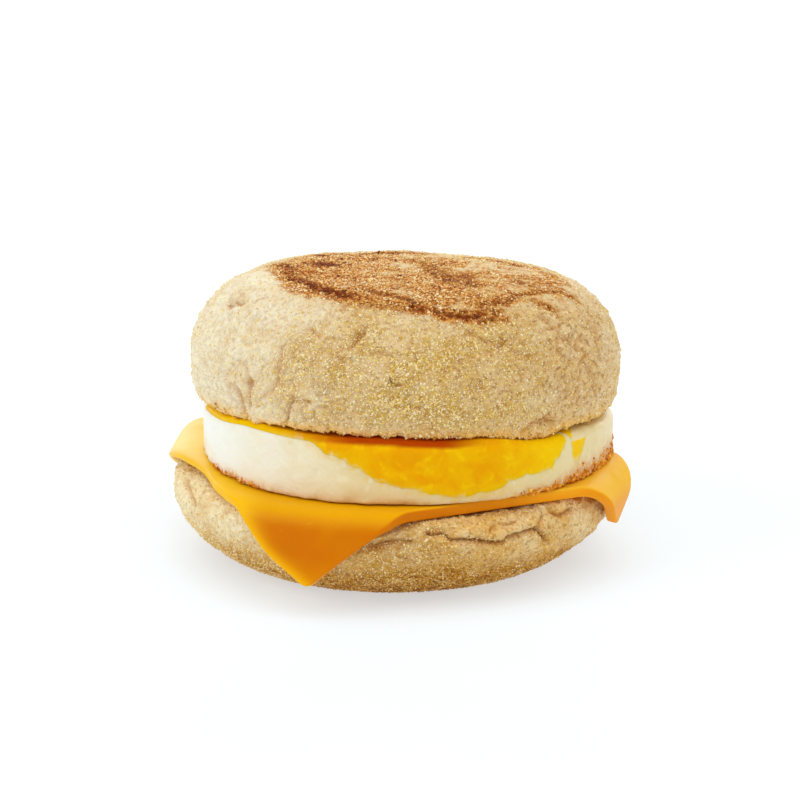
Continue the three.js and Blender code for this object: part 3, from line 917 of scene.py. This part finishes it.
class Finish:
    """A material and short ways to add the nodes that the finishes here use."""

    def __init__(self, name):
        self.material = bpy.data.materials.new(name)
        self.material.use_nodes = True
        self.tree = self.material.node_tree
        self.shader = self.tree.nodes["Principled BSDF"]
        self.place = self.tree.nodes.new("ShaderNodeTexCoord").outputs["Object"]

    def add(self, kind, inputs=(), **settings):
        """A node with its settings, and with the values or links of some of its inputs."""
        node = with_settings(self.tree.nodes.new(kind), **settings)
        for name, value in dict(inputs).items():
            self.feed(node.inputs[name], value)
        return node

    def feed(self, socket, value):
        if isinstance(value, bpy.types.NodeSocket):
            self.tree.links.new(value, socket)
        else:
            socket.default_value = value

    def noise(self, size, detail=2.0, distortion=0.0):
        inputs = {"Vector": self.place, "Scale": 1 / (size * MM)}
        inputs.update(Detail=detail, Distortion=distortion)
        return self.add("ShaderNodeTexNoise", inputs).outputs["Fac"]

    def along(self, axis, low, high, start=0.0, end=1.0):
        """A step along an axis of the sandwich, between two places in millimetres."""
        place = self.add("ShaderNodeSeparateXYZ", {0: self.place}).outputs[axis]
        return self.step(place, low * MM, high * MM, start, end)

    def facing(self, axis):
        """How far the surface faces along an axis, from -1 to 1."""
        normal = self.add("ShaderNodeNewGeometry").outputs["Normal"]
        return self.add("ShaderNodeSeparateXYZ", {0: normal}).outputs[axis]

    def mark(self, name):
        return self.add("ShaderNodeAttribute", attribute_name=name).outputs["Fac"]

    def math(self, operation, first, second, clamp=False):
        inputs = {0: first, 1: second}
        return self.add("ShaderNodeMath", inputs, operation=operation, use_clamp=clamp).outputs[0]

    def times(self, first, second, clamp=False):
        return self.math("MULTIPLY", first, second, clamp)

    def step(self, value, low, high, start=0.0, end=1.0):
        inputs = enumerate((value, low, high, start, end))
        return self.add("ShaderNodeMapRange", inputs, interpolation_type="SMOOTHSTEP").outputs["Result"]

    def mix(self, share, *shades):
        """From one shade to another: each a node's output, or red, green and blue from 0 to 255."""
        first, second = (colour(*shade) if isinstance(shade, tuple) else shade for shade in shades)
        inputs = {0: share, 6: first, 7: second}
        return self.add("ShaderNodeMix", inputs, data_type="RGBA", clamp_factor=True).outputs[2]

    def over(self, base, *layers):
        """Shades laid over a base one after another, each as its share and the shade."""
        for share, shade in layers:
            base = self.mix(share, base, shade)
        return base

    def ramp(self, value, shades):
        node = self.add("ShaderNodeValToRGB", {"Fac": value})
        elements = node.color_ramp.elements
        while len(elements) < len(shades):
            elements.new(0.5)
        for element, position, shade in zip(elements, RAMP_STOPS[len(shades)], shades):
            element.position = position
            element.color = colour(*shade)
        return node.outputs["Color"]

    def bump(self, layers):
        """Relief finer than the mesh: pairs of a height and its depth in millimetres."""
        below = {}
        for height, depth in layers:
            node = self.add("ShaderNodeBump", {"Height": height, "Distance": depth * MM, **below})
            below = {"Normal": node.outputs["Normal"]}
        self.set(**below)

    def set(self, **values):
        for name, value in values.items():
            self.feed(self.shader.inputs[name.replace("_", " ")], value)

    def soften(self, weight, radius, depth):
        """Light that sinks in and comes out again, as deep as given in millimetres."""
        self.set(Subsurface_Weight=weight, Subsurface_Radius=radius, Subsurface_Scale=depth * MM)


def crust_finish(name, pale, dough, gold, light_brown, dark_brown):
    """Floury dough, dusted with meal and browned on the griddled top, with painted shade in the creases;
    the rim is toasted and, on the crown, painted with a warm glow from the yolk.
    """
    f = Finish(name)
    tan, browning = f.mark("tan"), f.mark("browning")
    tone = f.math("ADD", tan, f.step(f.noise(6, 3, 0.6), 0.35, 0.68, -0.2, 0.25), True)
    meal = f.times(f.mark("meal"), f.step(f.noise(1.1, 2), 0.25, 0.6, 0.4, 1))
    speckle = f.math("ADD", f.times(tan, 0.55), 0.18)
    speckle = f.times(f.step(f.noise(1.0, 3), 0.5, 0.66), speckle)
    grit = f.step(f.noise(0.8, 3), 0.34, 0.66)
    brown = f.math("ADD", browning, f.step(f.noise(1.6, 3), 0.3, 0.7, -0.2, 0.2), True)
    griddled = f.mix(brown, f.ramp(grit, light_brown), f.ramp(grit, dark_brown))
    scorch = f.times(f.mark("scorch"), f.step(f.noise(1.0, 2), 0.25, 0.55, 0.7, 1.2), True)
    base = f.over(
        f.mix(tone, pale, dough),
        (meal, gold),
        (speckle, (176, 124, 60)),
        (f.step(f.noise(0.6, 2), 0.56, 0.74, 0, 0.55), (255, 246, 220)),
        # painted shade in the creases, wrinkles and furrows
        (f.times(f.mark("crease"), 0.7), (196, 130, 62)),
        # golden rim: toast, and on the crown a painted warm glow thrown up from the yolk
        (f.times(f.mark("toast"), 0.8), (255, 202, 92)),
        (f.step(browning, 0.02, 0.3), griddled),
        (scorch, (110, 42, 8)))
    f.set(Base_Color=base, Roughness=0.9, Specular_IOR_Level=0.1)
    f.soften(0.1, (1.0, 0.6, 0.3), 1.0)
    f.bump([(f.noise(2.8, 3, 0.4), 0.8), (f.noise(1.1, 3), 0.5), (f.noise(0.45, 2), 0.26)])
    return f.material


def grain_finish(name, fresh, toasted):
    """Dry grains in a range of fresh colours, or toasted brown, each from light to dark."""
    f = Finish(name)
    tint = f.mark("tint")
    shade = f.mix(f.mark("toasted"), f.ramp(tint, fresh), f.ramp(tint, toasted))
    shade = f.mix(f.step(f.noise(0.3, 1), 0.45, 0.7, 0, 0.12), shade, (255, 244, 214))
    f.set(Base_Color=shade, Roughness=0.6, Specular_IOR_Level=0.15)
    return f.material


def crisp_finish():
    """Fried lace: orange to dark brown, a little greasy."""
    f = Finish("fried crumb")
    shade = f.ramp(f.mark("tint"), FRIED_CRUMB)
    shade = f.mix(f.step(f.noise(0.4, 1), 0.4, 0.7, 0, 0.2), shade, (250, 206, 116))
    f.set(Base_Color=shade, Roughness=0.5, Specular_IOR_Level=0.1)
    return f.material


def egg_finish(name, own):
    """Cooked egg: white or yolk, each tinged by the other along their border."""
    f = Finish(name)
    cloud = f.noise(7, 3, 0.5)
    across = f.along("X", -45, 0)
    side = f.mark("yolk_side")
    up = f.facing("Z")
    white = f.over(
        # painted light and shade: whitest at the left, where the key light falls, creamier and darker
        # towards the front and right as shade and warm light from the cheese
        f.mix(across, (246, 245, 234), (236, 217, 164)),
        (f.times(across, f.step(cloud, 0.42, 0.68, 0, 0.6)), (228, 208, 148)),
        (f.step(f.noise(2.2, 2), 0.55, 0.75, 0, 0.35), (248, 244, 226)),
        # painted shade and warm light from the cheese along the lower edge
        (f.times(f.along("Z", 23.8, 29.5, 0.6, 0), across), (222, 192, 138)))
    shaded = f.times(f.along("X", -26, -7), f.step(up, 0.25, 0.75))
    shaded = f.times(shaded, f.along("X", 10, 23, 1, 0))
    deep = f.mix(f.step(f.mark("inset"), 1.5, 4.5), (180, 66, 0), (255, 116, 0))
    yolk = f.over(
        f.mix(f.step(f.noise(7, 3, 0.8), 0.36, 0.68), (238, 164, 0), (242, 184, 0)),
        (f.step(f.noise(2.6, 2, 0.5), 0.5, 0.75, 0, 0.6), (253, 210, 6)),
        (f.step(side, 0.2, 2.5, 0.6, 0), (240, 190, 8)),
        (f.along("X", 20, 38, 0, 0.75), (255, 208, 0)),
        # painted light: the film at the left, in the crown's shadow, is lightened
        (f.along("X", -20, -34, 0, 0.8), (255, 200, 0)),
        (shaded, deep))
    reach = f.math("ADD", side, f.step(f.noise(2.4, 3, 0.8), 0.25, 0.75, -1.3, 1.3))
    if own == "yolk":
        share = f.step(reach, -1.1, 0.6, f.along("X", -30, -14, 1, 0.5), 1)
    else:
        share = f.step(reach, -1.8, 0.5, 0, f.along("X", -30, -14, 0.1, 0.4))
    capped = f.times(f.along("X", 38.8, 39.2), f.step(up, 0.02, 0.2))
    fried = f.times(f.mark("fried"), f.step(f.noise(0.9, 3), 0.28, 0.56, 0, 1.15), True)
    base = f.over(white, (share, yolk), (capped, white), (fried, (214, 128, 8)))
    f.set(Base_Color=base, Roughness=f.step(cloud, 0.3, 0.7, 0.28, 0.42))
    f.set(Specular_IOR_Level=0.03 if own == "yolk" else 0.2)
    f.soften(0.35, (1.0, 0.75, 0.45), 1.6)
    f.bump([(f.noise(3.5, 2), 0.5), (f.noise(0.9, 2), 0.12)])
    return f.material


def cheese_finish():
    """Smooth processed cheese, satin, with light and shade painted into its colour: deep orange where it
    faces forward or hangs low, yellower where it faces up or aside.
    """
    f = Finish("cheese")
    up = f.facing("Z")
    lit = f.math("ADD", up, f.times(f.facing("Y"), 0.8))
    right = f.times(f.along("X", 0, 54, 0, 0.8), f.step(up, -0.3, 0.6, 0.15, 1))
    base = f.over(
        f.mix(f.step(lit, -0.6, 0.75), (210, 114, 0), (234, 170, 4)),
        # painted shade: more orange where the slice hangs low
        (f.along("Z", 15, 6, 0, 0.6), (230, 148, 0)),
        # painted light at the left, where the key light falls, and a painted highlight on the left tip
        (f.along("X", -26, -40, 0, 0.75), (255, 212, 40)),
        (f.along("X", -40, -52, 0, 0.8), (255, 226, 146)),
        (f.along("X", 4, 34, 0, 0.75), (252, 156, 0)),
        # painted sheen on the right fold's upward faces
        (right, (255, 202, 60)),
        # painted highlight along the left edge
        (f.times(f.mark("rim"), 0.8), (250, 192, 10)),
        (f.step(f.noise(14, 2, 0.4), 0.35, 0.68, 0, 0.15), (246, 170, 4)),
        (f.step(f.noise(1.2, 2), 0.66, 0.78, 0, 0.2), (250, 190, 40)))
    f.set(Base_Color=base, Roughness=f.step(f.noise(6, 3), 0.3, 0.7, 0.3, 0.42), Specular_IOR_Level=0.05)
    f.soften(0.25, (1.0, 0.5, 0.1), 2.0)
    f.bump([(f.noise(9, 2), 0.35), (f.noise(1.6, 2), 0.04)])
    return f.material


# Floor, light and camera

def floor():
    bm = bmesh.new()
    bmesh.ops.create_grid(bm, x_segments=1, y_segments=1, size=FLOOR_HALF)
    thing = add_to_scene("floor", to_mesh(bm, "floor"))
    f = Finish("white paper")
    f.set(Base_Color=f.mix(f.noise(40, 2), (182, 188, 192), (186, 192, 196)), Roughness=0.9)
    f.set(Specular_IOR_Level=0, Emission_Color=FLOOR_TINT, Emission_Strength=FLOOR_GLOW)
    thing.data.materials.append(f.material)


def lamp(name, kind, lean, turn, **settings):
    """A lamp that points down until it is leant and turned, both in degrees."""
    thing = add_to_scene(name, with_settings(bpy.data.lights.new(name, kind), **settings))
    thing.rotation_euler = Euler((lean * DEGREE, 0, turn * DEGREE))
    return thing


def studio():
    world = bpy.data.worlds.new("studio")
    world.use_nodes = True
    sky = world.node_tree.nodes["Background"].inputs
    sky["Color"].default_value = (1, 1, 1, 1)
    sky["Strength"].default_value = WORLD_LIGHT
    bpy.context.scene.world = world
    for name, (turn, height, softness, strength) in SKYLIGHTS.items():
        lamp(name, "SUN", 90 - height, turn, angle=softness * DEGREE, energy=strength)
    panel = lamp("back panel", "AREA", -90, 0, **PANEL)
    panel.location = PANEL_PLACE
    bpy.context.scene.view_settings.view_transform = "Standard"


def camera():
    focal = SENSOR * CAMERA_DISTANCE / (PIXEL_SIZE * PICTURE_PIXELS)
    lens = bpy.data.cameras.new("camera")
    with_settings(lens, sensor_width=SENSOR, lens=focal, clip_start=0.01, clip_end=50)
    thing = add_to_scene("camera", lens)
    slope = CAMERA_ELEVATION * DEGREE
    back = Vector((0, -math.cos(slope), math.sin(slope)))
    thing.location = (CAMERA_AIM + back * CAMERA_DISTANCE) * MM
    thing.rotation_euler = Euler((math.pi / 2 - slope, 0, 0))
    bpy.context.scene.camera = thing


def sandwich():
    crown = crown_mesh()
    heel = heel_mesh()
    body, pool = egg_body(), yolk_pool()
    white = cut_egg(body, pool, "DIFFERENCE", "egg_white_cooked")
    yolk = cut_egg(body, pool, "INTERSECT", "yolk")
    crown_rim = corners_of(crown)[:, 2] / MM > CROWN_STREWN
    crown_bare = (normals_of(crown)[:, 2] > -0.7) & crown_rim
    heel_points = corners_of(heel) / MM
    heel_bare = from_axis(heel_points) > HEEL_RIM_RADIUS - 1
    heel_bare |= heel_points[:, 2] < HEEL_WIDEST
    heel_bare &= heel_points[:, 2] > HEEL_STREWN
    crown_meal = grain_finish("crown cornmeal", CROWN_MEAL, GRIDDLED_GRAIN)
    heel_meal = grain_finish("heel cornmeal", HEEL_MEAL, BROWNED_GRAIN)
    crown_flour = grain_finish("crown crumb", CROWN_FLOUR, GRIDDLED_GRAIN)
    heel_flour = grain_finish("heel crumb", HEEL_FLOUR, BROWNED_GRAIN)
    crown_crust = crust_finish(
        "crown crust", (251, 242, 212), (234, 198, 137), (200, 156, 60),
        [(164, 88, 24), (208, 138, 56), (240, 190, 112)], [(104, 40, 4), (166, 82, 18), (214, 136, 54)])
    heel_crust = crust_finish(
        "heel crust", (255, 244, 204), (233, 187, 107), (200, 146, 50),
        [(156, 98, 26), (192, 134, 44), (222, 172, 78)], [(114, 58, 6), (160, 98, 18), (200, 140, 44)])
    piece(crown, crown_crust, "muffin_crust", "muffin_crown")
    piece(heel, heel_crust, "muffin_crust", "muffin_heel")
    piece(white, egg_finish("egg white", "white"), "egg_white", "egg_white")
    piece(yolk, egg_finish("egg yolk", "yolk"), "egg_yolk", "egg_yolk")
    cheese, share = cheese_mesh()
    add_thickness(piece(cheese, cheese_finish(), "cheese", "cheese_slice"), share)
    sprinkled = [
        (cornmeal("crown_cornmeal", crown, CROWN_GRAINS, CROWN_GROWTH, crown_bare), crown_meal),
        (cornmeal("heel_cornmeal", heel, HEEL_GRAINS, HEEL_GROWTH, heel_bare), heel_meal),
        (crumbs("crown_crumbs", crown, CROWN_CRUMBS, crown_bare), crown_flour),
        (crumbs("heel_crumbs", heel, HEEL_CRUMBS, heel_bare), heel_flour),
        (rim_crumbs(crown, crown_rim), crown_meal),
    ]
    for mesh, finish in sprinkled:
        piece(mesh, finish, "muffin_crust")
    piece(egg_crisps(white), crisp_finish(), "egg_white")


camera()
studio()
floor()
sandwich()
